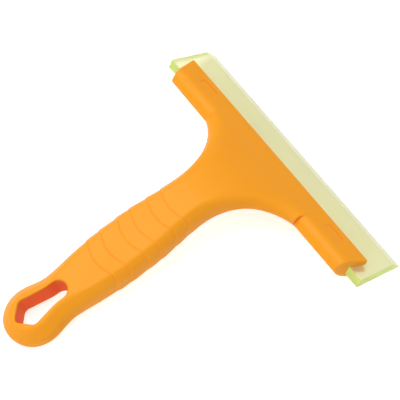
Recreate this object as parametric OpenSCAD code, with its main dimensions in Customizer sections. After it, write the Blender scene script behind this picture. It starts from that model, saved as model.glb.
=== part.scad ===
// Hand squeegee for windows: one moulded handle with a blade channel, and a
// thick bevelled blade that slides into the channel from either end.
// It lies face up on a table: the blade's lip and the handle's end touch Z = 0.
// X runs along the blade, Y from the handle's end towards the blade's lip.

/* [Blade] */
// Length of the blade along its rear edge
blade_length = 150; // [140:1:220]
// Depth of the blade, from its rear edge to its lip
blade_depth = 29; // [27:0.5:34]
// Thickness of the blade behind the bevel
blade_thickness = 5.4; // [4.5:0.1:6]
// Thickness that the bevel leaves at the lip
lip_thickness = 1.1; // [0.5:0.1:2]
// Width of the bevel
bevel_width = 6.8; // [4:0.1:9]
// How far each end of the lip is set back from the end of the rear edge
blade_end_setback = 1.5; // [0:0.1:4]

/* [Crossbar] */
// Length of the crossbar along its front edge
crossbar_length = 137.8; // [120:0.2:139]
// How far the upper jaw covers the blade
jaw_cover = 8.3; // [6:0.1:10]
// How far the lower jaw reaches past the upper jaw
lower_jaw_lead = 1.7; // [0:0.1:3]
// Thickness of the upper jaw at its front edge
upper_jaw = 3.25; // [2:0.05:4]
// Thickness of the lower jaw
lower_jaw = 2; // [1.5:0.1:3]
// Clearance between the blade and each jaw
blade_clearance = 0.05; // [0.02:0.01:0.1]
// Setback of the crossbar's ends for each millimetre towards the handle
end_slant = 0.287; // [0:0.001:0.4]
// Length of the shallow recess near each end of the upper jaw
recess_length = 11; // [6:0.5:14]
// Depth of that recess
recess_depth = 0.4; // [0.2:0.1:0.8]

/* [Handle] */
// Length of the top face from the jaw's front edge to the handle's end
handle_run = 158.7; // [150:0.1:175]
// Half width of the neck at its shoulders
shoulder_half = 34.8; // [30:0.1:45]
// Half width of the handle where the neck ends
waist_half = 12.2; // [11:0.1:14]
// Half width in the middle of the grip
grip_half = 14.2; // [13:0.1:16]
// Half width in front of the hanging hole
tail_half = 11.8; // [11:0.1:13]
// Half width around the hanging hole
ring_half = 14.5; // [13.5:0.1:17]
// Thickness of the handle where it meets the crossbar
head_thickness = 8.8; // [8.5:0.1:11]
// Thickness of the grip
grip_thickness = 15.2; // [13:0.1:17]
// Thickness of the handle around the hanging hole
ring_thickness = 13.4; // [12:0.1:15]
// Angle between the head's top face and the blade
head_rise = 2.6; // [0:0.1:4]
// Angle between the grip's top face and the blade
grip_fall = 35.4; // [30:0.1:40]
// Radius of the bend between them
bend_radius = 62; // [50:1:70]

/* [Hanging hole] */
// Distance from the jaw's front edge to the hole's round end
hole_start = 123.6; // [122:0.1:126]
// Length of the hole
hole_length = 28.7; // [20:0.1:29]
// Half width of the hole at its round end
hole_narrow_half = 4.6; // [3.5:0.1:5]
// Half width of the hole at its corners
hole_wide_half = 7.2; // [6:0.1:8]

/* [Resting place] */
// Tilt of the blade when the squeegee lies on a table
rest_tilt = 23.31; // [23.2:0.01:23.4]
// Distance from the origin to the rear edge of the blade, along Y
rear_edge_y = 57.2; // [50:0.1:70]

/* [Hidden] */

moulded_orange = [0.97, 0.62, 0.16];
clear_lime = [0.86, 0.88, 0.62, 0.75];

// The blade's lip rests on Z = 0.
rear_edge_z = blade_depth * sin(rest_tilt);

// Crossbar profile, as seen along X: Y towards the lip, Z up from the blade's
// underside. The top face rises by head_rise towards the handle.
slot_rear = -0.1;
jaw_top = blade_thickness + blade_clearance + upper_jaw;
back_run = 14;
back_top = jaw_top + back_run * tan(head_rise);
back_y = jaw_cover - back_run;
back_bulge = 1.75;
back_corner_z = 3;
heel_y = -4;
heel_z = -0.6;
jaw_end_y = jaw_cover + lower_jaw_lead;
edge_round = 0.6;

// Top face of the handle, measured as a run back from the jaw's front edge:
// straight, then a bend, then straight down the grip.
bend_start = 23.2;
bend_sweep = head_rise + grip_fall;
bend_run = bend_radius * bend_sweep * PI / 180;
bend_end = bend_start + bend_run;

// Stations of the plan outline, as runs from the jaw's front edge.
neck_front = 7;
shoulder_run = 17;
waist_run = 56;
grip_run = 86;
grip_end_run = 97;
tail_run = 128;
ring_run = 143;
flare_reach = 41;
flare_rise = 33.4;

// Section of the handle.
chamfer_out = 4;
chamfer_down = 4.2;
under_round = 5.5;
end_drop = 3.2;
thin_run = 18;
thick_run = 62;
slim_start = 115;
slim_end = 140;
ring_count = 120;
round_steps = 5;

function mix(a, b, t) = a + (b - a) * t;
function ease(t) = let (u = min(1, max(0, t))) u * u * (3 - 2 * u);
function eased(a, b, start, end, run) = mix(a, b, ease((run - start) / (end - start)));

// Angle of the top face at a run, and the point [y, z] that lies there.
function lean(run) = run < bend_start ? head_rise
    : run > bend_end ? -grip_fall
    : head_rise - (run - bend_start) / bend_radius * 180 / PI;
function straight(from, angle, run) = [from.x - run * cos(angle), from.y + run * sin(angle)];
front_point = [jaw_cover, jaw_top];
bend_first = straight(front_point, head_rise, bend_start);
bend_centre = bend_first - bend_radius * [sin(head_rise), cos(head_rise)];
function on_bend(run) = bend_centre + bend_radius * [sin(lean(run)), cos(lean(run))];
function top_point(run) = run < bend_start ? straight(front_point, head_rise, run)
    : run > bend_end ? straight(on_bend(bend_end), -grip_fall, run - bend_end)
    : on_bend(run);

// Half width of the plan outline: shoulders, a concave quarter ellipse down to
// the waist, the grip, the slim tail, the ring, and an elliptical end.
function flare_half(run) = waist_half
    + flare_rise * (1 - sqrt(1 - pow((waist_run - run) / flare_reach, 2)));
function end_half(run) = ring_half
    * sqrt(max(0, 1 - pow((run - ring_run) / (handle_run - ring_run), 2)));
function plan_half(run) = run < shoulder_run ? shoulder_half
    : run < waist_run ? min(shoulder_half, flare_half(run))
    : run < grip_run ? eased(waist_half, grip_half, waist_run, grip_run, run)
    : run < grip_end_run ? grip_half
    : run < tail_run ? eased(grip_half, tail_half, grip_end_run, tail_run, run)
    : run < ring_run ? eased(tail_half, ring_half, tail_run, ring_run, run)
    : end_half(run);
function thickness(run) = run < thick_run
    ? eased(head_thickness, grip_thickness, thin_run, thick_run, run)
    : eased(grip_thickness, ring_thickness, slim_start, slim_end, run);

// One ring of points around the handle, in the plane square to the top face.
// Each entry is [half width, depth below the top face].
function half_ring(w, thick, drop) = let (
        out = min(chamfer_out, w * 0.6),
        down = min(chamfer_down, thick * 0.4),
        r = min(under_round, w * 0.8, thick / 2)
    ) concat(
        [[w - out, drop], [w, drop + down]],
        [for (i = [0:round_steps]) let (a = 90 * i / round_steps)
            [w - r * (1 - cos(a)), thick - r * (1 - sin(a))]]
    );
function mirror_ring(half) = [for (i = [len(half) - 1:-1:0]) [-half[i].x, half[i].y]];
function full_ring(half) = concat(half, mirror_ring(half));
function place_ring(ring, run) = let (p = top_point(run), a = lean(run))
    [for (q = ring) [q.x, p.x - q.y * sin(a), p.y - q.y * cos(a)]];

// The rings bunch up towards the rounded end.
function ring_at(i) = let (t = i / ring_count)
    t < 0.8 ? mix(neck_front, ring_run, t / 0.8)
    : ring_run + (handle_run - ring_run) * sin(89 * (t - 0.8) / 0.2);
function end_lift(run) = end_drop * pow(max(0, (run - ring_run) / (handle_run - ring_run)), 4);
function handle_ring(run) = let (lift = end_lift(run))
    place_ring(full_ring(half_ring(plan_half(run), thickness(run) - lift, lift)), run);

module skin(rings) {
    count = len(rings[0]);
    last = (len(rings) - 1) * count;
    polyhedron(
        points = [for (ring = rings) each ring],
        faces = concat(
            [[for (j = [count - 1:-1:0]) j]],
            [[for (j = [0:count - 1]) last + j]],
            [for (i = [0:len(rings) - 2], j = [0:count - 1]) let (k = (j + 1) % count)
                each [
                    [i * count + j, i * count + k, (i + 1) * count + j],
                    [i * count + k, (i + 1) * count + k, (i + 1) * count + j]
                ]]
        ),
        convexity = 6
    );
}

// Puts a shape from the blade's own axes on to the table.
module lay_down() {
    translate([0, rear_edge_y, rear_edge_z]) rotate([-rest_tilt, 0, 0]) children();
}

// Extrudes a [Y, Z] outline along X, centred on X = 0.
module along_x(length) {
    translate([-length / 2, 0, 0]) rotate([90, 0, 90]) linear_extrude(length) children();
}

// Draws on the handle's top face at a run, and cuts down square to it.
module square_to_top(run) {
    p = top_point(run);
    translate([0, p.x, p.y]) rotate([-lean(run), 0, 0]) children();
}

module crossbar_profile() {
    polygon([
        [jaw_cover, blade_thickness + blade_clearance],
        [jaw_cover, jaw_top - edge_round],
        [jaw_cover - edge_round, jaw_top],
        [back_y + 2, back_top - 0.1],
        [back_y, back_top - 0.9],
        [back_y - 0.75, back_top - 2.6],
        [back_y - back_bulge, back_corner_z],
        [heel_y, heel_z],
        [slot_rear, -lower_jaw],
        [jaw_end_y - edge_round, -lower_jaw],
        [jaw_end_y, edge_round - lower_jaw],
        [jaw_end_y, -blade_clearance],
        [slot_rear, -blade_clearance],
        [slot_rear, blade_thickness + blade_clearance]
    ]);
}

// Plan of the crossbar with its slanted ends.
module crossbar_plan() {
    front = jaw_end_y + 1;
    back = back_y - back_bulge - 1;
    front_half = crossbar_length / 2 + end_slant * (front - jaw_cover);
    back_half = crossbar_length / 2 + end_slant * (back - jaw_cover);
    polygon([[front_half, front], [-front_half, front], [-back_half, back], [back_half, back]]);
}

module crossbar() {
    intersection() {
        along_x(crossbar_length + 10) crossbar_profile();
        translate([0, 0, -20]) linear_extrude(40) crossbar_plan();
    }
}

module channel() {
    along_x(blade_length + 20) polygon([
        [slot_rear, -blade_clearance],
        [40, -blade_clearance],
        [40, blade_thickness + blade_clearance],
        [slot_rear, blade_thickness + blade_clearance]
    ]);
}

// Hanging hole: round in front, widening to two corners, pointed at the back.
module hole_outline() {
    corner = 21.9;
    union() {
        translate([0, -hole_narrow_half]) circle(r = hole_narrow_half, $fn = 48);
        polygon([
            [hole_narrow_half, -hole_narrow_half],
            [hole_narrow_half, -10],
            [hole_wide_half, -corner],
            [hole_wide_half - 0.6, -corner - 1.2],
            [1.2, -hole_length],
            [-1.2, -hole_length],
            [0.6 - hole_wide_half, -corner - 1.2],
            [-hole_wide_half, -corner],
            [-hole_narrow_half, -10],
            [-hole_narrow_half, -hole_narrow_half]
        ]);
    }
}

module hanging_hole() {
    square_to_top(hole_start) translate([0, 0, -25]) linear_extrude(40) hole_outline();
}

module jaw_recess() {
    square_to_top(5) translate([0, 0, -recess_depth]) linear_extrude(3) hull() {
        translate([-recess_length / 2 + 1.5, 0]) circle(r = 1.5, $fn = 32);
        translate([recess_length / 2 - 1.5, 0]) circle(r = 1.5, $fn = 32);
    }
}

module handle() {
    recess_x = 49.5;
    color(moulded_orange) lay_down() difference() {
        union() {
            crossbar();
            skin([for (i = [0:ring_count]) handle_ring(ring_at(i))]);
        }
        channel();
        hanging_hole();
        translate([recess_x, 0, 0]) jaw_recess();
        translate([-recess_x, 0, 0]) jaw_recess();
    }
}

module blade() {
    half = blade_length / 2;
    color(clear_lime) lay_down() intersection() {
        along_x(blade_length + 10) polygon([
            [0, 0],
            [blade_depth, 0],
            [blade_depth, lip_thickness],
            [blade_depth - bevel_width, blade_thickness],
            [0, blade_thickness]
        ]);
        translate([0, 0, -1]) linear_extrude(blade_thickness + 2) polygon([
            [half, 0],
            [half - blade_end_setback, blade_depth],
            [blade_end_setback - half, blade_depth],
            [-half, 0]
        ]);
    }
}

handle();
blade();
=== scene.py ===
# %% [markdown]
# # A window cleaning squeegee
# The squeegee has two pieces. One is a thick moulded handle, whose neck widens into a
# crossbar with two jaws. The other is a strip of cast rubbery plastic, pushed into the
# slot between the jaws from one end. This lesson shapes both, gives each its own finish,
# and lights them on a plain floor.
#
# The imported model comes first. It says where everything is, so nothing is placed by eye.

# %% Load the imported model
import math

import bmesh
import bpy
import numpy as np
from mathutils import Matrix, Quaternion, Vector


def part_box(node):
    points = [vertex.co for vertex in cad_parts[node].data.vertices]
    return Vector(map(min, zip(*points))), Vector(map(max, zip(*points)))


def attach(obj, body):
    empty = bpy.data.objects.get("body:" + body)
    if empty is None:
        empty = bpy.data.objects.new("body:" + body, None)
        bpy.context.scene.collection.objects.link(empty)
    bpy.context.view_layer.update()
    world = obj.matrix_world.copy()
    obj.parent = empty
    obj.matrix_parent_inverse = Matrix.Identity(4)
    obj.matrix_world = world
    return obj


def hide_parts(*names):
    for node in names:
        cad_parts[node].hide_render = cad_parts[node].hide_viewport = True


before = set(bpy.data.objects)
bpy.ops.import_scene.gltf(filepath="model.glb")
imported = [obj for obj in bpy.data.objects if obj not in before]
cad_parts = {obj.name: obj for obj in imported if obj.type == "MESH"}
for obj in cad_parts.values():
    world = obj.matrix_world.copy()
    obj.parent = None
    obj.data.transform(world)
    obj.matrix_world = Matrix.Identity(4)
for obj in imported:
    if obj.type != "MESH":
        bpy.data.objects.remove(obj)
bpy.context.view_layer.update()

MM = 0.001
blade_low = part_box("blade")[0]
handle_low, handle_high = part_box("handle")
print("handle from", [round(v, 4) for v in handle_low], "to", [round(v, 4) for v in handle_high])

# %% [markdown]
# ## Working on the bench, then lying down
# A squeegee is easiest to draw with its blade flat on the bench: y runs towards the lip,
# z is up from the blade's underside, x runs along the blade, all in millimetres. On a
# table it tips forward until the lip and the handle's end both touch. One function
# turns bench places into table places, so every shape below is drawn on the bench.

# %% The blade's measures, and the tilt on the table
BLADE_LENGTH = 150.0
BLADE_DEPTH = 29.0
BLADE_THICKNESS = 5.4
LIP_THICKNESS = 1.1
BEVEL_WIDTH = 6.8
LIP_SETBACK = 1.5
REST_TILT = math.radians(23.31)
REAR_EDGE_Y = blade_low.y / MM
REAR_EDGE_Z = BLADE_DEPTH * math.sin(REST_TILT)


def lay_on_table(points):
    """Bench places in millimetres to table places in metres."""
    x, y, z = points[:, 0], points[:, 1], points[:, 2]
    along = y * math.cos(REST_TILT) + z * math.sin(REST_TILT) + REAR_EDGE_Y
    up = -y * math.sin(REST_TILT) + z * math.cos(REST_TILT) + REAR_EDGE_Z
    return np.stack([x, along, up], 1) * MM


lip_on_table = lay_on_table(np.array([[0.0, BLADE_DEPTH, 0.0]]))[0]
print("lip lies at height", round(float(lip_on_table[2]), 6), "m, rear edge at y", REAR_EDGE_Y, "mm")

# %% [markdown]
# ## Rounding where faces meet
# The handle is one flowing moulding: a flat top, chamfers that fade, a neck that melts
# into a bar, a hole with a rolled rim. Subdivision modelling would need a careful cage
# and would still pinch around the hole. A solid made of distances is simpler here. Each
# face is a formula that says how far a point is outside it, the larger of two distances
# is their meeting, and a softened larger-of rounds the corner between them.

# %% Helpers that join distances
def meet(a, b, width):
    """Where two faces meet, with a corner softened over a width."""
    share = np.maximum(width - np.abs(a - b), 0.0) / width
    return np.maximum(a, b) + share * share * width * 0.25


def fillet(a, b, radius):
    """Where two faces meet, rounded as an arc of that radius."""
    u = np.maximum(a + radius, 0.0)
    v = np.maximum(b + radius, 0.0)
    return np.minimum(np.maximum(a, b), -radius) + np.sqrt(u * u + v * v)


def join(a, b, radius):
    """Two solids together, with a filled corner of that radius."""
    return -fillet(-a, -b, radius)


def ease(t):
    """A smooth step from 0 to 1."""
    t = np.clip(t, 0.0, 1.0)
    return t * t * (3.0 - 2.0 * t)


def fade(first, last, start, end, run):
    """A value that eases from first to last between two runs."""
    return first + (last - first) * ease((run - start) / (end - start))


# %% [markdown]
# ## The line of the handle
# The top face leaves the jaw nearly flat, bends down through a generous arc, and goes
# straight down the grip. Unrolling that line gives each point a run, which is its
# distance back from the jaw, and a depth below the top face. Most of the handle is
# easier to describe in those two numbers than in y and z.

# %% Unroll the bent top face
JAW_FRONT_Y = 8.3
JAW_TOP_Z = 8.7
HEAD_RISE = math.radians(2.6)
GRIP_FALL = math.radians(35.4)
BEND_RADIUS = 62.0
BEND_START = 23.2
BEND_END = BEND_START + BEND_RADIUS * (HEAD_RISE + GRIP_FALL)

bend_first_y = JAW_FRONT_Y - BEND_START * math.cos(HEAD_RISE)
bend_first_z = JAW_TOP_Z + BEND_START * math.sin(HEAD_RISE)
bend_centre_y = bend_first_y - BEND_RADIUS * math.sin(HEAD_RISE)
bend_centre_z = bend_first_z - BEND_RADIUS * math.cos(HEAD_RISE)
bend_last_y = bend_centre_y - BEND_RADIUS * math.sin(GRIP_FALL)
bend_last_z = bend_centre_z + BEND_RADIUS * math.cos(GRIP_FALL)


def along_straight(y, z, from_y, from_z, slope):
    """Run and depth beside a straight stretch that rises by slope towards the grip."""
    back = (from_y - y) * math.cos(slope) + (z - from_z) * math.sin(slope)
    depth = (from_y - y) * math.sin(slope) - (z - from_z) * math.cos(slope)
    return back, depth


def unroll(y, z):
    """Run back from the jaw, and depth below the top face."""
    out_y = y - bend_centre_y
    out_z = z - bend_centre_z
    angle = np.arctan2(out_y, out_z)
    head_run, head_depth = along_straight(y, z, JAW_FRONT_Y, JAW_TOP_Z, HEAD_RISE)
    grip_run, grip_depth = along_straight(y, z, bend_last_y, bend_last_z, -GRIP_FALL)
    bend_run = BEND_START + BEND_RADIUS * (HEAD_RISE - angle)
    bend_depth = BEND_RADIUS - np.hypot(out_y, out_z)
    ahead = angle > HEAD_RISE
    behind = angle < -GRIP_FALL
    run = np.where(ahead, head_run, np.where(behind, grip_run + BEND_END, bend_run))
    depth = np.where(ahead, head_depth, np.where(behind, grip_depth, bend_depth))
    return run, depth


print("the bend ends", round(BEND_END, 1), "mm back from the jaw")

# %% [markdown]
# ## The plan of the neck and grip
# Seen square to its top face, the handle starts as a wide neck, sweeps in along a
# quarter ellipse to a waist, swells for the palm, slims again, and ends in a ring
# around the hanging hole.

# %% Half width of the handle along its run
SHOULDER_HALF = 34.8
WAIST_RUN = 56.0
WAIST_HALF = 12.2
FLARE_REACH = 41.4
FLARE_RISE = 33.4
PALM_START = 86.0
PALM_END = 97.0
PALM_HALF = 14.3
TAIL_RUN = 128.0
TAIL_HALF = 11.8
RING_RUN = 143.0
RING_HALF = 14.5
HANDLE_RUN = 158.7
SLOPE_PROBE = 0.25


def grip_half(run):
    """Half width from the waist to the ring."""
    half = fade(WAIST_HALF, PALM_HALF, WAIST_RUN, PALM_START, run)
    half = np.where(run > PALM_END, fade(PALM_HALF, TAIL_HALF, PALM_END, TAIL_RUN, run), half)
    return np.where(run > TAIL_RUN, fade(TAIL_HALF, RING_HALF, TAIL_RUN, RING_RUN, run), half)


def outside_ellipse(across, along, half_across, half_along):
    """Distance outside an ellipse, from its middle."""
    u = across / half_across
    v = along / half_along
    size = np.sqrt(u * u + v * v) + 1e-9
    steepness = np.sqrt((u / half_across) ** 2 + (v / half_along) ** 2) + 1e-9
    return size * (size - 1.0) / steepness


def outside_plan(x, run):
    """Distance outside the plan outline, for x at or above 0."""
    slope = (grip_half(run + SLOPE_PROBE) - grip_half(run - SLOPE_PROBE)) / (2.0 * SLOPE_PROBE)
    grip = (x - grip_half(run)) / np.sqrt(1.0 + slope * slope)
    flare = -outside_ellipse(x - WAIST_HALF - FLARE_RISE, run - WAIST_RUN, FLARE_RISE, FLARE_REACH)
    end = outside_ellipse(x, run - RING_RUN, RING_HALF, HANDLE_RUN - RING_RUN)
    return np.where(run < WAIST_RUN, flare, np.where(run > RING_RUN, end, grip))


for run in (56.0, 75.0, 90.0, 128.0, 143.0):
    print("half width at run", run, "is", round(float(grip_half(np.array(run))), 2), "mm")

# %% [markdown]
# ## Thumb bands
# Six shallow bands cross the grip so that a wet hand doesn't slip. Each one starts
# with a tiny step down along a curved line, then climbs back gently to the next. The
# step is a third of a millimetre, so it is cut into the mesh rather than left to a
# bump map: it catches light along its edge from every side. Down the side walls the
# step spreads into a soft scallop.

# %% The bands that cross the grip
BAND_RUNS = (62.8, 70.4, 79.8, 87.2, 96.7, 104.2)
LAST_BAND_LENGTH = 12.0
BAND_STEP = 0.32
BAND_GROOVE = 0.05
GROOVE_LENGTH = 0.9
BAND_BOW = 2.3
BAND_HALF = 9.6
TOP_STEP_LENGTH = 0.6
SIDE_STEP_LENGTH = 3.4
SPREAD_START = 3.5
SPREAD_END = 8.0


def band_dip(x, run, depth):
    """How far the surface is cut back by the bands."""
    bowed = run - BAND_BOW * (1.0 - np.minimum(x / BAND_HALF, 1.0) ** 2)
    step_length = fade(TOP_STEP_LENGTH, SIDE_STEP_LENGTH, SPREAD_START, SPREAD_END, depth)
    ends = BAND_RUNS[1:] + (BAND_RUNS[-1] + LAST_BAND_LENGTH,)
    dip = np.zeros_like(bowed)
    for start, end in zip(BAND_RUNS, ends):
        down = ease((bowed - start) / step_length)
        back_up = 1.0 - np.clip((bowed - start) / (end - start), 0.0, 1.0)
        inside = (bowed >= start) & (bowed < end)
        groove = BAND_GROOVE * np.exp(-((bowed - start - step_length) / GROOVE_LENGTH) ** 2)
        dip = np.where(inside, (BAND_STEP * back_up + groove) * down, dip)
    return dip


# %% [markdown]
# ## Section of the neck and grip
# Cut across, the grip is a slab with chamfered top edges and a full rounding below.
# Towards the neck it gets thinner, its chamfers shrink and their edges go soft. The
# neck stands a little proud of the crossbar and sinks into it towards the jaw. Around
# the hole the slab slims again, and its underside lifts at the very end.

# %% The neck and grip as one solid
NECK_THICKNESS = 7.9
GRIP_THICKNESS = 15.4
RING_THICKNESS = 13.4
THIN_RUN = 18.0
THICK_RUN = 62.0
SLIM_START = 115.0
SLIM_END = 140.0
END_LIFT = 3.2
NECK_FRONT = 6.0
NECK_SUNK = 0.7
NECK_PROUD = 0.45
RISE_START = 4.0
RISE_END = 15.0
SINK_START = 20.0
SINK_END = 48.0
NECK_CHAMFER = 2.0
GRIP_CHAMFER = 4.1
RING_EXTRA_CHAMFER = 1.7


def proud_of_crossbar(run):
    """How far the neck's top is above the line of the handle: sunk at the jaw, then proud."""
    risen = fade(-NECK_SUNK, NECK_PROUD, RISE_START, RISE_END, run)
    sinking = fade(NECK_PROUD, 0.0, SINK_START, SINK_END, run)
    return np.where(run > SINK_START, sinking, risen)


def thickness(run):
    slab = fade(NECK_THICKNESS, GRIP_THICKNESS, THIN_RUN, THICK_RUN, run)
    slab = slab - fade(0.0, GRIP_THICKNESS - RING_THICKNESS, SLIM_START, SLIM_END, run)
    lifted = np.clip((run - RING_RUN) / (HANDLE_RUN - RING_RUN), 0.0, 1.2)
    return slab - END_LIFT * lifted ** 4


def neck_and_grip(x, run, depth):
    side = outside_plan(x, run)
    raised = depth + proud_of_crossbar(run)
    top = -raised
    chamfer_size = fade(NECK_CHAMFER, GRIP_CHAMFER, 16.0, 60.0, run)
    chamfer_size = chamfer_size + fade(0.0, RING_EXTRA_CHAMFER, 112.0, 136.0, run)
    chamfer = (side - raised + chamfer_size) * math.sqrt(0.5)
    top_softness = fade(4.0, 0.7, 22.0, 58.0, run) + fade(0.0, 0.4, 112.0, 132.0, run)
    side_softness = fade(3.0, 2.5, THIN_RUN, THICK_RUN, run)
    solid = meet(top, chamfer, top_softness)
    solid = meet(solid, side, side_softness)
    solid = fillet(solid, depth - thickness(run), fade(4.5, 5.5, THIN_RUN, THICK_RUN, run))
    solid = meet(solid, x - SHOULDER_HALF, 0.5)
    solid = np.maximum(solid, NECK_FRONT - run)
    return solid + band_dip(x, run, depth)


# %% [markdown]
# ## The crossbar and its jaws
# The bar is a straight extrusion: a flat top that ends at the upper jaw, a rolled rear
# corner, a sloping back, a heel, and a thin lower jaw that reaches a little further
# under the blade. Each face is a straight line in the bar's section, written as a
# direction and a distance. The ends are cut at a slant.

# %% The crossbar as a stack of cut faces
BAR_HALF = 68.9
END_SLANT = 0.287
LOWER_JAW_FRONT = 10.0
LOWER_JAW_THICKNESS = 2.0
BACK_FACE = (164.2, 8.05)
HEEL_FACE = (224.0, 3.3)
UNDER_FACE = (252.2, 1.84)
REAR_CORNER = 4.2
BAR_EDGE = 0.6


def outside_face(y, z, face):
    """Distance outside a face, given the way it looks in degrees and its reach from the origin."""
    looks = math.radians(face[0])
    return y * math.cos(looks) + z * math.sin(looks) - face[1]


def crossbar(x, y, z, depth):
    solid = meet(-depth, outside_face(y, z, BACK_FACE), REAR_CORNER)
    solid = meet(solid, outside_face(y, z, HEEL_FACE), 1.3)
    solid = meet(solid, outside_face(y, z, UNDER_FACE), 0.9)
    solid = meet(solid, -z - LOWER_JAW_THICKNESS, 1.0)
    lower_half = meet(solid, y - LOWER_JAW_FRONT, BAR_EDGE)
    upper_half = meet(solid, y - JAW_FRONT_Y, BAR_EDGE)
    solid = np.where(z < BLADE_THICKNESS / 2.0, lower_half, upper_half)
    end_half = BAR_HALF - END_SLANT * (JAW_FRONT_Y - y)
    return meet(solid, (x - end_half) / math.hypot(1.0, END_SLANT), BAR_EDGE)


# %% [markdown]
# ## What is cut out
# Three cuts finish the moulding: the slot that holds the blade, the hanging hole, and a
# shallow recess near each end of the upper jaw. The hole is round in front, widens to
# two corners and comes to a blunt point, and its rim is rolled over so that it doesn't
# cut the hand or the hook.

# %% Slot, hanging hole and recesses
SLOT_GAP = 0.05
SLOT_REAR = -0.1
HOLE_START = 123.6
HOLE_LENGTH = 28.7
HOLE_NARROW_HALF = 4.5
HOLE_WIDE_HALF = 7.1
HOLE_WIDENS = 7.5
HOLE_CORNER = 21.9
HOLE_CORNER_SOFTNESS = 1.8
RIM_RADIUS = 1.0
SLOT_EDGE = 0.25
SHOULDER_FILLET = 0.8
RECESS_X = 49.5
RECESS_RUN = 5.2
RECESS_HALF_LENGTH = 5.5
RECESS_HALF_WIDTH = 1.7
RECESS_CORNER = 1.0
RECESS_DEPTH = 0.22
RECESS_EDGE = 0.2


def hole_half(along):
    widening = np.clip((along - HOLE_WIDENS) / (HOLE_CORNER - HOLE_WIDENS), 0.0, 1.2)
    return HOLE_NARROW_HALF + (HOLE_WIDE_HALF - HOLE_NARROW_HALF) * widening ** 1.25


def hanging_hole(x, run):
    """Distance outside the hole's outline."""
    along = run - HOLE_START
    slope = (hole_half(along + SLOPE_PROBE) - hole_half(along - SLOPE_PROBE)) / (2.0 * SLOPE_PROBE)
    side = (x - hole_half(along)) / np.sqrt(1.0 + slope * slope)
    point_length = HOLE_LENGTH - HOLE_CORNER
    blunt_x = np.sqrt(x * x + 1.0)
    point = blunt_x * point_length + (along - HOLE_LENGTH) * HOLE_WIDE_HALF
    point = point / math.hypot(point_length, HOLE_WIDE_HALF)
    body = meet(meet(side, point, HOLE_CORNER_SOFTNESS), HOLE_NARROW_HALF - along, 0.1)
    front = np.hypot(x, along - HOLE_NARROW_HALF) - HOLE_NARROW_HALF
    return np.minimum(body, front)


def blade_slot(y, z):
    above = z - BLADE_THICKNESS - SLOT_GAP
    below = -SLOT_GAP - z
    return np.maximum(np.maximum(above, below), SLOT_REAR - y)


def jaw_recess(x, run, depth):
    along_bar = np.maximum(np.abs(x - RECESS_X) - RECESS_HALF_LENGTH + RECESS_CORNER, 0.0)
    across_bar = np.maximum(np.abs(run - RECESS_RUN) - RECESS_HALF_WIDTH + RECESS_CORNER, 0.0)
    return np.maximum(np.hypot(along_bar, across_bar) - RECESS_CORNER, depth - RECESS_DEPTH)


def handle_solid(points):
    """Distance outside the whole handle at bench places in millimetres."""
    x = np.abs(points[:, 0])
    y = points[:, 1]
    z = points[:, 2]
    run, depth = unroll(y, z)
    solid = join(neck_and_grip(x, run, depth), crossbar(x, y, z, depth), SHOULDER_FILLET)
    solid = fillet(solid, -hanging_hole(x, run), RIM_RADIUS)
    solid = fillet(solid, -blade_slot(y, z), SLOT_EDGE)
    return fillet(solid, -jaw_recess(x, run, depth), RECESS_EDGE)


inside_grip = float(handle_solid(np.array([[0.0, -60.0, -10.0]]))[0])
print("a point inside the grip is at", round(inside_grip, 2), "mm, below 0 because it is inside")

# %% [markdown]
# ## From distances to a mesh
# A solid of distances has no faces yet. Marching cubes would cut it into slivers, so
# surface nets are used: every small cube of space that the surface passes through gets
# one point, and neighbouring cubes share a four-sided face. Only cubes close to the
# surface are measured, which keeps the script quick.

# %% Skin the solid with surface nets
CELL = 0.52
BLOCK = 6
NEARNESS = 1.5
POINTS_AT_ONCE = 400000


def spread(values, size, count):
    """Repeats each block's value over its own small cells."""
    for axis in range(3):
        values = np.repeat(values, size, axis)
    return values[: count[0], : count[1], : count[2]]


def measure_near_surface(solid, low, high, cell):
    """Distances on a grid, exact near the surface and only a sign elsewhere."""
    blocks = np.ceil((high - low) / (cell * BLOCK)).astype(int)
    count = blocks * BLOCK
    axes = [low[k] + cell * (BLOCK * np.arange(blocks[k]) + (BLOCK - 1) / 2.0) for k in range(3)]
    centres = np.stack(np.meshgrid(*axes, indexing="ij"), -1).reshape(-1, 3)
    at_centre = solid(centres).reshape(tuple(blocks))
    reach = NEARNESS * cell * BLOCK * math.sqrt(3.0) / 2.0
    near = spread(np.abs(at_centre) < reach, BLOCK, count)
    grid = spread(np.where(at_centre < 0.0, -1.0, 1.0), BLOCK, count).astype(np.float64).copy()
    places = np.argwhere(near)
    for piece in np.array_split(np.arange(len(places)), max(1, len(places) // POINTS_AT_ONCE)):
        spots = places[piece]
        grid[spots[:, 0], spots[:, 1], spots[:, 2]] = solid(low + spots * cell)
    return grid


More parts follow.
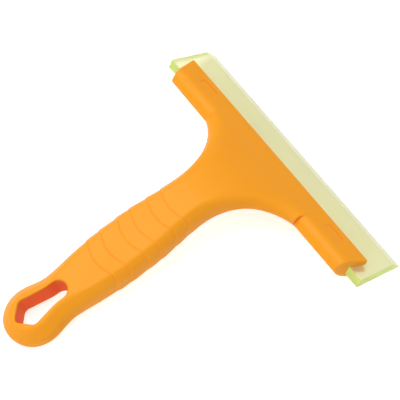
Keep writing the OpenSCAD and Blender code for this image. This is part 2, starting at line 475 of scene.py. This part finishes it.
def skin(solid, low, high, cell):
    """Points and four-sided faces of the surface where the distance is zero."""
    grid = measure_near_surface(solid, low, high, cell)
    inside = grid < 0.0
    count = np.array(grid.shape)
    corners = [(i, j, k) for i in (0, 1) for j in (0, 1) for k in (0, 1)]
    filled = np.zeros(tuple(count - 1), np.uint8)
    for i, j, k in corners:
        filled += inside[i:count[0] - 1 + i, j:count[1] - 1 + j, k:count[2] - 1 + k]
    crossed = (filled > 0) & (filled < 8)
    cubes = np.argwhere(crossed)
    number = np.full(crossed.shape, -1, np.int64)
    number[crossed] = np.arange(len(cubes))
    total = np.zeros((len(cubes), 3))
    hits = np.zeros(len(cubes))
    for corner in corners:
        for axis in range(3):
            if corner[axis] == 1:
                continue
            start = cubes + np.array(corner)
            end = start + np.eye(3, dtype=int)[axis]
            first = grid[start[:, 0], start[:, 1], start[:, 2]]
            second = grid[end[:, 0], end[:, 1], end[:, 2]]
            cuts = (first < 0.0) != (second < 0.0)
            share = first[cuts] / (first[cuts] - second[cuts])
            total[cuts] += np.array(corner)
            total[cuts, axis] += share
            hits[cuts] += 1.0
    points = low + (cubes + total / hits[:, None]) * cell
    faces = [faces_across(inside, number, axis) for axis in range(3)]
    return points, np.concatenate(faces)


def faces_across(inside, number, axis):
    """One face for each grid edge along an axis that goes through the surface."""
    second_axis = (axis + 1) % 3
    third_axis = (axis + 2) % 3
    ahead = np.take(inside, np.arange(1, inside.shape[axis]), axis)
    here = np.take(inside, np.arange(inside.shape[axis] - 1), axis)
    edges = np.argwhere(ahead != here)

    def cube(back_second, back_third):
        spot = edges.copy()
        spot[:, second_axis] -= back_second
        spot[:, third_axis] -= back_third
        return number[spot[:, 0], spot[:, 1], spot[:, 2]]

    ring = np.stack([cube(1, 1), cube(0, 1), cube(0, 0), cube(1, 0)], 1)
    starts_inside = inside[edges[:, 0], edges[:, 1], edges[:, 2]]
    return np.where(starts_inside[:, None], ring, ring[:, ::-1])


SKIN_MARGIN = 2.0
REARMOST_Y = -135.0
LOWEST_Z = -72.0
HIGHEST_Z = 12.0
skin_low = np.array([-BAR_HALF, REARMOST_Y, LOWEST_Z]) - SKIN_MARGIN
skin_high = np.array([BAR_HALF, LOWER_JAW_FRONT, HIGHEST_Z]) + SKIN_MARGIN
handle_points, handle_faces = skin(handle_solid, skin_low, skin_high, CELL)
print("surface nets made", len(handle_points), "points and", len(handle_faces), "faces")

# %% [markdown]
# ## Polishing the mould
# The fresh net lies a little off the true surface and its cells are uneven. Each point
# slides towards the middle of its neighbours, along the surface, and is then pressed
# back on to the solid. A few rounds of that leave even faces and clean highlights.

# %% Even out the net and press it on to the solid
PRESS_PROBE = 0.02
PRESS_LIMIT = 0.4


def steepest(solid, points):
    """The direction in which the distance grows fastest, at each point."""
    result = np.empty_like(points)
    for axis in range(3):
        nudge = np.zeros(3)
        nudge[axis] = PRESS_PROBE
        result[:, axis] = (solid(points + nudge) - solid(points - nudge)) / (2.0 * PRESS_PROBE)
    return result


def outward_directions(solid, points):
    slope = steepest(solid, points)
    return slope / (np.linalg.norm(slope, axis=1, keepdims=True) + 1e-9)


def press(solid, points, rounds):
    for _ in range(rounds):
        slope = steepest(solid, points)
        move = -solid(points)[:, None] * slope / ((slope ** 2).sum(1)[:, None] + 1e-9)
        length = np.linalg.norm(move, axis=1, keepdims=True) + 1e-12
        points = points + move * np.minimum(1.0, PRESS_LIMIT / length)
    return points


def middle_of_neighbours(points, faces):
    total = np.zeros_like(points)
    count = np.zeros(len(points))
    for k in range(4):
        here = faces[:, k]
        there = faces[:, (k + 1) % 4]
        for axis in range(3):
            total[:, axis] += np.bincount(here, points[there, axis], len(points))
            total[:, axis] += np.bincount(there, points[here, axis], len(points))
        count += np.bincount(here, minlength=len(points)) + np.bincount(there, minlength=len(points))
    return total / count[:, None]


def polish(solid, points, faces, rounds):
    points = press(solid, points, 2)
    for _ in range(rounds):
        outward = outward_directions(solid, points)
        slide = middle_of_neighbours(points, faces) - points
        slide -= (slide * outward).sum(1)[:, None] * outward
        points = press(solid, points + 0.5 * slide, 1)
    return points


handle_points = polish(handle_solid, handle_points, handle_faces, 3)
furthest = float(np.abs(handle_solid(handle_points)).max())
print("furthest point from the true surface", round(furthest, 4), "mm")

# %% [markdown]
# ## Knowing where the edges and hollows are
# Outward edges get a painted highlight, a shade lighter than a flat face, and corners
# that turn inwards get painted shade. The solid itself can tell the two apart: a little
# way out along the surface, the distance grows beside an outward edge and shrinks beside
# an inward one. It can tell a hollow as well: going straight out from the wall of the
# hole, the other side soon comes close, and hollows get painted shade. The slot isn't a
# hollow, because the blade fills it, but its lower face gets light through the blade, so
# it is marked too, for a painted glow. All three go on to the mesh as values that the
# finish reads.

# %% Measure edges and hollows, and make the handle's mesh
EDGE_PROBE = 0.9
FULL_EDGE = 0.25
HOLLOW_PROBES = (8.0, 12.0)
CORNER_CLOSENESS = 0.35
HOLLOW_CLOSENESS = 0.6
SLOT_FACE_REACH = 0.3


def measure_edges(solid, points):
    """Above 0 on outward edges, below 0 in inward corners."""
    outward = outward_directions(solid, points)
    helper = np.where(np.abs(outward[:, 2:]) < 0.7, [[0.0, 0.0, 1.0]], [[1.0, 0.0, 0.0]])
    first = np.cross(outward, helper)
    first /= np.linalg.norm(first, axis=1, keepdims=True)
    second = np.cross(outward, first)
    total = np.zeros(len(points))
    for direction in (first, -first, second, -second):
        total += solid(points + EDGE_PROBE * direction)
    return total / (4.0 * EDGE_PROBE)


def measure_hollows(solid, points):
    """0 in the open and on outward corners, 1 where another wall is close in front."""
    outward = outward_directions(solid, points)
    openness = np.zeros(len(points))
    for probe in HOLLOW_PROBES:
        openness += np.clip(solid(points + probe * outward) / probe, 0.0, 1.0)
    closeness = 1.0 - openness / len(HOLLOW_PROBES)
    return ease((closeness - CORNER_CLOSENESS) / (HOLLOW_CLOSENESS - CORNER_CLOSENESS))


def touches_blade(points):
    """1 on the lower jaw's face under the blade, 0 elsewhere."""
    y = points[:, 1]
    z = points[:, 2]
    return ((np.abs(z + SLOT_GAP) < SLOT_FACE_REACH) & (y > SLOT_REAR)).astype(np.float64)


def mesh_from(name, points, faces):
    mesh = bpy.data.meshes.new(name)
    mesh.vertices.add(len(points))
    mesh.vertices.foreach_set("co", points.astype(np.float32).ravel())
    mesh.loops.add(faces.size)
    mesh.loops.foreach_set("vertex_index", faces.astype(np.int32).ravel())
    mesh.polygons.add(len(faces))
    mesh.polygons.foreach_set("loop_start", np.arange(0, faces.size, 4, dtype=np.int32))
    mesh.update(calc_edges=True)
    mesh.validate()
    mesh.polygons.foreach_set("use_smooth", np.ones(len(mesh.polygons), bool))
    piece = bpy.data.objects.new(name, mesh)
    bpy.context.scene.collection.objects.link(piece)
    return piece


def store(piece, name, values):
    """Keeps one value per point on the mesh, for a material to read."""
    attribute = piece.data.attributes.new(name, "FLOAT", "POINT")
    attribute.data.foreach_set("value", values.astype(np.float32))


moulded_handle = mesh_from("moulded_handle", lay_on_table(handle_points), handle_faces)
edges = measure_edges(handle_solid, handle_points)
under_blade = touches_blade(handle_points)
hollows = measure_hollows(handle_solid, handle_points) * (1.0 - under_blade)
# edge and hollow drive painted highlight and painted shade; under_blade drives a painted glow.
store(moulded_handle, "edge", np.clip(edges / FULL_EDGE, -1.0, 1.0))
store(moulded_handle, "hollow", hollows)
store(moulded_handle, "under_blade", under_blade)
print("moulded_handle has", len(moulded_handle.data.polygons), "faces")
print("edges run from", round(float(edges.min()), 3), "to", round(float(edges.max()), 3))

# %% [markdown]
# ## The cast blade
# The blade is a slab of soft clear plastic with one long bevel and slightly slanted
# ends. It is cut from a cast sheet, so its faces are flat, and its edges are crisp but
# never razor sharp. A few given corners make its section, the two ends are joined, and a
# small bevel on every edge catches the light. The faces where it was cut from the sheet
# are marked for the finish.

# %% Build the blade strip
BLADE_EDGE = 0.22
END_FACING = 0.5
REAR_FACING = 0.8
BLADE_SECTION = (
    (0.0, 0.0),
    (BLADE_DEPTH, 0.0),
    (BLADE_DEPTH, LIP_THICKNESS),
    (BLADE_DEPTH - BEVEL_WIDTH, BLADE_THICKNESS),
    (0.0, BLADE_THICKNESS),
)


def blade_end(side):
    """The section's corners at one end, pulled in towards the lip."""
    corners = []
    for y, z in BLADE_SECTION:
        half = BLADE_LENGTH / 2.0 - LIP_SETBACK * y / BLADE_DEPTH
        corners.append((side * half, y, z))
    return corners


def is_cut_face(normal):
    """True on the two ends and the rear edge, where the strip was cut from its sheet."""
    rear = Vector((0.0, -math.cos(REST_TILT), math.sin(REST_TILT)))
    return abs(normal.x) > END_FACING or normal.dot(rear) > REAR_FACING


def build_blade():
    shape = bmesh.new()
    rings = []
    for side in (-1, 1):
        placed = lay_on_table(np.array(blade_end(side)))
        rings.append([shape.verts.new(Vector(p)) for p in placed])
    count = len(BLADE_SECTION)
    shape.faces.new(rings[0])
    shape.faces.new(rings[1][::-1])
    for k in range(count):
        after = (k + 1) % count
        shape.faces.new([rings[0][after], rings[0][k], rings[1][k], rings[1][after]])
    bmesh.ops.recalc_face_normals(shape, faces=shape.faces)
    bmesh.ops.bevel(
        shape, geom=list(shape.edges), offset=BLADE_EDGE * MM, segments=3, profile=0.5, affect="EDGES"
    )
    mesh = bpy.data.meshes.new("cast_blade")
    shape.to_mesh(mesh)
    shape.free()
    cut = mesh.attributes.new("cut_face", "FLOAT", "FACE")
    cut.data.foreach_set("value", [float(is_cut_face(f.normal)) for f in mesh.polygons])
    piece = bpy.data.objects.new("cast_blade", mesh)
    bpy.context.scene.collection.objects.link(piece)
    return piece


cast_blade = build_blade()
print("cast_blade has", len(cast_blade.data.polygons), "faces")

# %% [markdown]
# ## Who moves with whom
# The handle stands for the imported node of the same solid, and so does the blade. The
# blade rides on the body that slides out of the slot.

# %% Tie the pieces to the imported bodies
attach(moulded_handle, "holder")
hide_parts("handle")
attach(cast_blade, "blade_strip")
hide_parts("blade")

# %% [markdown]
# ## Small helpers for finishes
# A finish is a small network of shader nodes. A few helpers keep that readable: they add
# a node, set its sockets, wire an output into an input, mix two colours, and start a
# shared group.

# %% Node helpers
def add(tree, kind, x, y, **settings):
    """Adds a node and sets its own properties."""
    node = tree.nodes.new(kind)
    node.location = (x, y)
    for name, value in settings.items():
        setattr(node, name, value)
    return node


def put(node, **values):
    """Sets sockets by name, with _ for a space."""
    for name, value in values.items():
        node.inputs[name.replace("_", " ")].default_value = value
    return node


def wire(tree, source, target):
    tree.links.new(source, target)


def mix_of(tree, x, y, first, second):
    """A node that mixes two plain colours, and still needs its factor."""
    node = add(tree, "ShaderNodeMix", x, y, data_type="RGBA")
    node.inputs[6].default_value = (*first, 1.0)
    node.inputs[7].default_value = (*second, 1.0)
    return node


def new_group(name, inputs, outputs):
    """A shader node group with float sockets, except for names that end in Color."""
    group = bpy.data.node_groups.new(name, "ShaderNodeTree")
    for label, default in inputs.items():
        kind = "NodeSocketColor" if label.endswith("Color") else "NodeSocketFloat"
        socket = group.interface.new_socket(name=label, in_out="INPUT", socket_type=kind)
        socket.default_value = default
    for label in outputs:
        kind = "NodeSocketColor" if label.endswith("Color") else "NodeSocketFloat"
        group.interface.new_socket(name=label, in_out="OUTPUT", socket_type=kind)
    return group


# %% [markdown]
# ## Mould skin, a shared effect
# Plastic that sets against steel is never quite flat. It keeps slow waves where it
# shrank as it cooled, and a fine grain from the mould's spark-eroded face. Both the
# handle and the blade show it, in different amounts, so it is one node group. It gives
# a height for bump, and a value that varies slowly for colour and roughness.

# %% Build the mould skin group
def build_mould_skin():
    group = new_group(
        "mould_skin",
        {"Wave Scale": 60.0, "Grain Scale": 1600.0, "Wave": 1.0, "Grain": 0.3},
        ["Height", "Cloud"],
    )
    start = add(group, "NodeGroupInput", -900, 0)
    place = add(group, "ShaderNodeTexCoord", -900, 300)
    waves = add(group, "ShaderNodeTexNoise", -600, 250)
    put(waves, Detail=1.0, Roughness=0.4)
    grain = add(group, "ShaderNodeTexNoise", -600, -50)
    put(grain, Detail=2.0, Roughness=0.55)
    cloud = add(group, "ShaderNodeTexNoise", -600, -350)
    put(cloud, Scale=38.0, Detail=2.0, Roughness=0.5)
    wave_height = add(group, "ShaderNodeMath", -300, 200, operation="MULTIPLY")
    grain_height = add(group, "ShaderNodeMath", -300, 0, operation="MULTIPLY")
    total = add(group, "ShaderNodeMath", -100, 100, operation="ADD")
    end = add(group, "NodeGroupOutput", 150, 0)
    for noise in (waves, grain, cloud):
        wire(group, place.outputs["Object"], noise.inputs["Vector"])
    wire(group, start.outputs["Wave Scale"], waves.inputs["Scale"])
    wire(group, start.outputs["Grain Scale"], grain.inputs["Scale"])
    wire(group, waves.outputs["Fac"], wave_height.inputs[0])
    wire(group, start.outputs["Wave"], wave_height.inputs[1])
    wire(group, grain.outputs["Fac"], grain_height.inputs[0])
    wire(group, start.outputs["Grain"], grain_height.inputs[1])
    wire(group, wave_height.outputs[0], total.inputs[0])
    wire(group, grain_height.outputs[0], total.inputs[1])
    wire(group, total.outputs[0], end.inputs["Height"])
    wire(group, cloud.outputs["Fac"], end.inputs["Cloud"])
    return group


mould_skin = build_mould_skin()
print("mould_skin has", len(mould_skin.nodes), "nodes")

# %% [markdown]
# ## Painted highlight and shade on one plastic, a shared effect
# A painted highlight makes coloured plastic a shade lighter on its outward edges, and
# painted shade makes it a shade deeper where it turns inwards or faces itself across a
# hollow; a slow cloud varies the tone at random. The group mixes three tones by the edge
# value, the hollow value and the cloud.

# %% Build the tone group
def build_tone_with_painted_light():
    group = new_group(
        "tone_with_painted_light",
        {
            "Base Color": (0.8, 0.8, 0.8, 1.0),
            "Edge Color": (0.9, 0.9, 0.9, 1.0),
            "Deep Color": (0.5, 0.5, 0.5, 1.0),
            "Edge": 0.0,
            "Hollow": 0.0,
            "Cloud": 0.5,
            "Edge Amount": 0.5,
            "Hollow Amount": 1.0,
            "Cloud Amount": 0.2,
        },
        ["Tone Color"],
    )
    start = add(group, "NodeGroupInput", -900, 0)
    outward = add(group, "ShaderNodeMapRange", -650, 200)
    put(outward, From_Min=0.5, From_Max=1.0, To_Min=0.0, To_Max=1.0)
    inward = add(group, "ShaderNodeMapRange", -650, -100)
    put(inward, From_Min=-0.05, From_Max=-0.5, To_Min=0.0, To_Max=1.0)
    outward_share = add(group, "ShaderNodeMath", -400, 200, operation="MULTIPLY")
    inward_share = add(group, "ShaderNodeMath", -400, -100, operation="MULTIPLY")
    hollow_share = add(group, "ShaderNodeMath", -400, -200, operation="MULTIPLY")
    deep_share = add(group, "ShaderNodeMath", -200, -150, operation="ADD", use_clamp=True)
    cloud_centred = add(group, "ShaderNodeMath", -650, -350, operation="SUBTRACT")
    cloud_centred.inputs[1].default_value = 0.5
    cloud_share = add(group, "ShaderNodeMath", -400, -350, operation="MULTIPLY", use_clamp=True)
    # to_edge paints a highlight on outward edges; to_deep paints shade in inward corners and hollows.
    to_edge = add(group, "ShaderNodeMix", -150, 150, data_type="RGBA")
    to_deep = add(group, "ShaderNodeMix", 50, 50, data_type="RGBA")
    to_cloud = add(group, "ShaderNodeMix", 250, 0, data_type="RGBA")
    end = add(group, "NodeGroupOutput", 500, 0)
    wire(group, start.outputs["Edge"], outward.inputs["Value"])
    wire(group, start.outputs["Edge"], inward.inputs["Value"])
    wire(group, outward.outputs[0], outward_share.inputs[0])
    wire(group, start.outputs["Edge Amount"], outward_share.inputs[1])
    wire(group, inward.outputs[0], inward_share.inputs[0])
    wire(group, start.outputs["Edge Amount"], inward_share.inputs[1])
    wire(group, start.outputs["Cloud"], cloud_centred.inputs[0])
    wire(group, cloud_centred.outputs[0], cloud_share.inputs[0])
    wire(group, start.outputs["Cloud Amount"], cloud_share.inputs[1])
    wire(group, outward_share.outputs[0], to_edge.inputs["Factor"])
    wire(group, start.outputs["Base Color"], to_edge.inputs[6])
    wire(group, start.outputs["Edge Color"], to_edge.inputs[7])
    wire(group, start.outputs["Hollow"], hollow_share.inputs[0])
    wire(group, start.outputs["Hollow Amount"], hollow_share.inputs[1])
    wire(group, inward_share.outputs[0], deep_share.inputs[0])
    wire(group, hollow_share.outputs[0], deep_share.inputs[1])
    wire(group, deep_share.outputs[0], to_deep.inputs["Factor"])
    wire(group, to_edge.outputs[2], to_deep.inputs[6])
    wire(group, start.outputs["Deep Color"], to_deep.inputs[7])
    wire(group, cloud_share.outputs[0], to_cloud.inputs["Factor"])
    wire(group, to_deep.outputs[2], to_cloud.inputs[6])
    wire(group, start.outputs["Deep Color"], to_cloud.inputs[7])
    wire(group, to_cloud.outputs[2], end.inputs["Tone Color"])
    return group


tone_with_painted_light = build_tone_with_painted_light()
print("tone_with_painted_light has", len(tone_with_painted_light.nodes), "nodes")

# %% [markdown]
# ## Moulded orange
# The handle is polypropylene, warm orange all the way through, with a satin face. Its
# outward edges get a painted highlight and its inward corners painted shade. In the
# hanging hole, light goes back and forth between orange walls, so those walls get painted
# shade, redder and deeper. Under the blade, light that has spread along the clear strip
# comes down on the lower jaw. A path of light that long is rarely found, so a faint
# painted orange glow there stands in for it.

# %% Finish the handle
def shader_in(material):
    """The material's Principled node, ready to set."""
    material.use_nodes = True
    return next(n for n in material.node_tree.nodes if n.type == "BSDF_PRINCIPLED")


def roughness_from(tree, source, smooth, rough):
    spread_out = add(tree, "ShaderNodeMapRange", -300, -200)
    put(spread_out, From_Min=0.3, From_Max=0.7, To_Min=smooth, To_Max=rough)
    wire(tree, source, spread_out.inputs["Value"])
    return spread_out.outputs[0]


def moulded_orange():
    material = bpy.data.materials.new("moulded_orange")
    shader = shader_in(material)
    tree = material.node_tree
    edge = add(tree, "ShaderNodeAttribute", -1100, 350, attribute_name="edge")
    hollow = add(tree, "ShaderNodeAttribute", -1100, 150, attribute_name="hollow")
    surface = add(tree, "ShaderNodeGroup", -1100, -150, node_tree=mould_skin)
    put(surface, Wave_Scale=70.0, Grain_Scale=1500.0, Wave=1.0, Grain=0.12)
    # Painted highlight on outward edges, painted shade in inward corners and hollows.
    tone = add(tree, "ShaderNodeGroup", -700, 200, node_tree=tone_with_painted_light)
    put(
        tone,
        Base_Color=(0.89, 0.335, 0.012, 1.0),
        Edge_Color=(0.97, 0.43, 0.04, 1.0),
        Deep_Color=(0.93, 0.175, 0.004, 1.0),
        Edge_Amount=0.3,
        Hollow_Amount=1.0,
        Cloud_Amount=0.15,
    )
    bump = add(tree, "ShaderNodeBump", -300, -450)
    put(bump, Strength=0.25, Distance=0.0004)
    wire(tree, edge.outputs["Fac"], tone.inputs["Edge"])
    wire(tree, hollow.outputs["Fac"], tone.inputs["Hollow"])
    wire(tree, surface.outputs["Cloud"], tone.inputs["Cloud"])
    wire(tree, tone.outputs["Tone Color"], shader.inputs["Base Color"])
    wire(tree, surface.outputs["Height"], bump.inputs["Height"])
    wire(tree, bump.outputs["Normal"], shader.inputs["Normal"])
    wire(tree, roughness_from(tree, surface.outputs["Cloud"], 0.34, 0.46), shader.inputs["Roughness"])
    under_blade = add(tree, "ShaderNodeAttribute", -600, 550, attribute_name="under_blade")
    glow = mix_of(tree, -300, 550, (0.0, 0.0, 0.0), (0.45, 0.17, 0.004))
    wire(tree, under_blade.outputs["Fac"], glow.inputs["Factor"])
    wire(tree, glow.outputs[2], shader.inputs["Emission Color"])
    put(shader, IOR=1.49, Specular_IOR_Level=0.2, Emission_Strength=1.0)
    return material


moulded_handle.data.materials.append(moulded_orange())

# %% [markdown]
# ## Clear lime
# The blade is cast polyurethane. It lets light through, but a milky haze scatters it,
# so the table below shows only as a glow and the lower jaw as an orange blur. Looking
# in through an end, light has crossed more of it and comes out greener, and the cut faces
# get a painted greener tone as well. Light that gathers in the strip and escapes at the
# cut faces is painted on as a faint glow there, fainter on every other face. A clear
# shader with a rough surface, colour that builds up with thickness, and that painted tone
# and glow give all of that.

# %% Finish the blade
def clear_lime():
    material = bpy.data.materials.new("clear_lime")
    shader = shader_in(material)
    tree = material.node_tree
    cut = add(tree, "ShaderNodeAttribute", -1100, 200, attribute_name="cut_face")
    surface = add(tree, "ShaderNodeGroup", -1100, -150, node_tree=mould_skin)
    put(surface, Wave_Scale=45.0, Grain_Scale=900.0, Wave=1.0, Grain=0.15)
    tone = add(tree, "ShaderNodeGroup", -700, 200, node_tree=tone_with_painted_light)
    put(
        tone,
        Base_Color=(0.83, 0.81, 0.67, 1.0),
        Deep_Color=(0.80, 0.88, 0.42, 1.0),
        Hollow_Amount=1.0,
        Cloud_Amount=0.15,
    )
    bump = add(tree, "ShaderNodeBump", -300, -450)
    put(bump, Strength=0.1, Distance=0.0003)
    # The cut-face mask paints a greener tone on the cut faces, through the hollow input.
    wire(tree, cut.outputs["Fac"], tone.inputs["Hollow"])
    wire(tree, surface.outputs["Cloud"], tone.inputs["Cloud"])
    wire(tree, tone.outputs["Tone Color"], shader.inputs["Base Color"])
    wire(tree, surface.outputs["Height"], bump.inputs["Height"])
    wire(tree, bump.outputs["Normal"], shader.inputs["Normal"])
    wire(tree, roughness_from(tree, surface.outputs["Cloud"], 0.29, 0.37), shader.inputs["Roughness"])
    # A painted glow: faint on every face, stronger on the cut faces.
    glow = mix_of(tree, -300, 450, (0.012, 0.015, 0.006), (0.10, 0.14, 0.02))
    wire(tree, cut.outputs["Fac"], glow.inputs["Factor"])
    wire(tree, glow.outputs[2], shader.inputs["Emission Color"])
    put(shader, IOR=1.42, Transmission_Weight=0.8, Specular_IOR_Level=0.25)
    put(shader, Emission_Strength=1.0)
    haze = add(tree, "ShaderNodeVolumeAbsorption", 0, -300)
    put(haze, Color=(0.86, 0.90, 0.0, 1.0), Density=48.0)
    output = next(n for n in tree.nodes if n.type == "OUTPUT_MATERIAL")
    wire(tree, haze.outputs["Volume"], output.inputs["Volume"])
    return material


cast_blade.data.materials.append(clear_lime())

# %% [markdown]
# ## A plain table and soft light
# The floor is a plain pale sheet with a faint glow of its own, seen in full by the
# camera and through the blade, but turned down where it would light the handle from
# below. A bright dome, a large soft box high on the left and a small one low in front
# light the top faces evenly and leave only faint shadows.

# %% Floor and lights
FLOOR_SIZE = 6.0
FLOOR_GLOW = 0.62
FLOOR_BOUNCE = 0.25
DOME_LOW = 0.32
DOME_HIGH = 0.72
MODEL_MIDDLE = (0.0, 0.0, 0.0)
KEY_PLACE = (-0.5, -0.2, 1.45)
KEY_SIZE = 1.4
KEY_POWER = 14.0
FRONT_PLACE = (0.6, -1.35, 0.9)
FRONT_SIZE = 0.8
FRONT_POWER = 4.0


def build_floor():
    shape = bmesh.new()
    half = FLOOR_SIZE / 2.0
    corners = [(-half, -half, 0.0), (half, -half, 0.0), (half, half, 0.0), (-half, half, 0.0)]
    shape.faces.new([shape.verts.new(corner) for corner in corners])
    mesh = bpy.data.meshes.new("floor")
    shape.to_mesh(mesh)
    shape.free()
    material = bpy.data.materials.new("plain_floor")
    shader = shader_in(material)
    put(shader, Base_Color=(0.94, 0.94, 0.94, 1.0), Roughness=0.9, Specular_IOR_Level=0.1)
    tree = material.node_tree
    path = add(tree, "ShaderNodeLightPath", -600, -200)
    in_view = add(tree, "ShaderNodeMath", -450, -200, operation="MAXIMUM")
    seen = mix_of(tree, -300, -200, (FLOOR_BOUNCE,) * 3, (1.0, 1.0, 1.0))
    wire(tree, path.outputs["Is Camera Ray"], in_view.inputs[0])
    wire(tree, path.outputs["Is Transmission Ray"], in_view.inputs[1])
    wire(tree, in_view.outputs[0], seen.inputs["Factor"])
    wire(tree, seen.outputs[2], shader.inputs["Emission Color"])
    put(shader, Emission_Strength=FLOOR_GLOW)
    mesh.materials.append(material)
    floor = bpy.data.objects.new("floor", mesh)
    bpy.context.scene.collection.objects.link(floor)
    return floor


def aim(thing, place, target, roll=0.0):
    """Puts a lamp or camera at a place, looking at a target."""
    back = Vector(place) - Vector(target)
    thing.rotation_mode = "QUATERNION"
    thing.rotation_quaternion = back.to_track_quat("Z", "Y") @ Quaternion((0.0, 0.0, 1.0), roll)
    thing.location = place


def soft_box(name, place, size, power):
    lamp = bpy.data.lights.new(name, "AREA")
    lamp.shape = "SQUARE"
    lamp.size = size
    lamp.energy = power
    box = bpy.data.objects.new(name, lamp)
    bpy.context.scene.collection.objects.link(box)
    aim(box, place, MODEL_MIDDLE)
    return box


def build_dome():
    """A white dome, dim near the table and bright overhead."""
    world = bpy.data.worlds.new("bright_dome")
    world.use_nodes = True
    tree = world.node_tree
    sky = next(n for n in tree.nodes if n.type == "BACKGROUND")
    put(sky, Color=(1.0, 1.0, 1.0, 1.0))
    direction = add(tree, "ShaderNodeTexCoord", -800, 0)
    parts = add(tree, "ShaderNodeSeparateXYZ", -600, 0)
    height = add(tree, "ShaderNodeMapRange", -400, 0, interpolation_type="SMOOTHSTEP")
    put(height, From_Min=0.1, From_Max=0.9, To_Min=DOME_LOW, To_Max=DOME_HIGH)
    wire(tree, direction.outputs["Generated"], parts.inputs["Vector"])
    wire(tree, parts.outputs["Z"], height.inputs["Value"])
    wire(tree, height.outputs[0], sky.inputs["Strength"])
    return world


build_floor()
key_box = soft_box("key_box", KEY_PLACE, KEY_SIZE, KEY_POWER)
front_box = soft_box("front_box", FRONT_PLACE, FRONT_SIZE, FRONT_POWER)
bpy.context.scene.world = build_dome()
bpy.context.scene.view_settings.view_transform = "Standard"
print("lamps", key_box.name, "and", front_box.name)

# %% [markdown]
# ## The camera
# A long lens from above and to one side keeps the blade's edges almost parallel. Its
# place is given in plain terms: what it looks at, from how far, from which side, how
# high, and how far it is rolled.

# %% Camera
CAMERA_TARGET = Vector((-0.0047, 0.0266, 0.010))
CAMERA_DISTANCE = 0.7519
CAMERA_SIDE = math.radians(-34.06)
CAMERA_HEIGHT = math.radians(59.48)
CAMERA_ROLL = math.radians(-1.31)
CAMERA_LENS = 144.25

camera_data = bpy.data.cameras.new("camera")
camera_data.lens = CAMERA_LENS
camera_data.sensor_width = 36.0
camera_data.clip_start = 0.05
camera = bpy.data.objects.new("camera", camera_data)
bpy.context.scene.collection.objects.link(camera)
level = Vector((math.cos(CAMERA_SIDE), math.sin(CAMERA_SIDE), 0.0)) * math.cos(CAMERA_HEIGHT)
outward = level + Vector((0.0, 0.0, math.sin(CAMERA_HEIGHT)))
aim(camera, CAMERA_TARGET + outward * CAMERA_DISTANCE, CAMERA_TARGET, CAMERA_ROLL)
bpy.context.scene.camera = camera
print("camera at", [round(v, 4) for v in camera.location])
